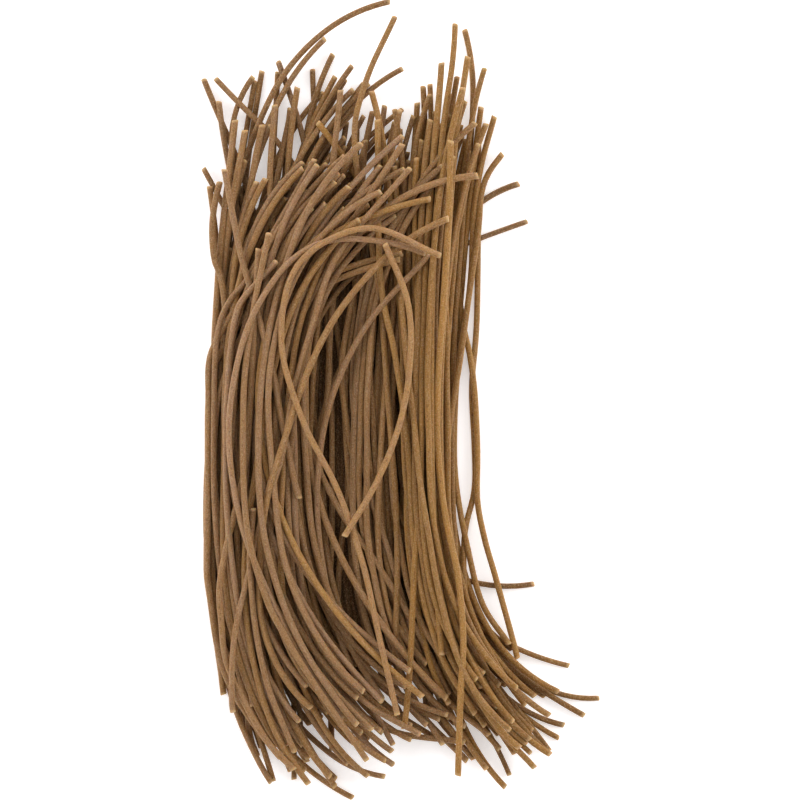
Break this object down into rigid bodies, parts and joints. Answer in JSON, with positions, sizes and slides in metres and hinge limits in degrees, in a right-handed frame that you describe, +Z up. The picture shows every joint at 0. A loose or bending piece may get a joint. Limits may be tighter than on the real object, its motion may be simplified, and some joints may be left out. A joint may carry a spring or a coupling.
{
  "type": "bundle of dry spaghetti",
  "caption": "Loose bundle of dry wholewheat spaghetti strands lying flat, fanned at both ends, as one solid out to its uneven outline.",
  "frame": {"origin": "middle of the bundle's box, on the table it lies on", "axes": "+Y runs along the strands towards the thin loose end, +X across the bundle, +Z up from the table"},
  "size_m": [0.16, 0.32, 0.0273],
  "materials": {
    "wholewheat_pasta": "matte dry wholewheat pasta, tan brown with fine bran specks and paler cut ends"
  },
  "bodies": {
    "root": {"spaghetti_bundle": "wholewheat_pasta"}
  },
  "joints": []
}
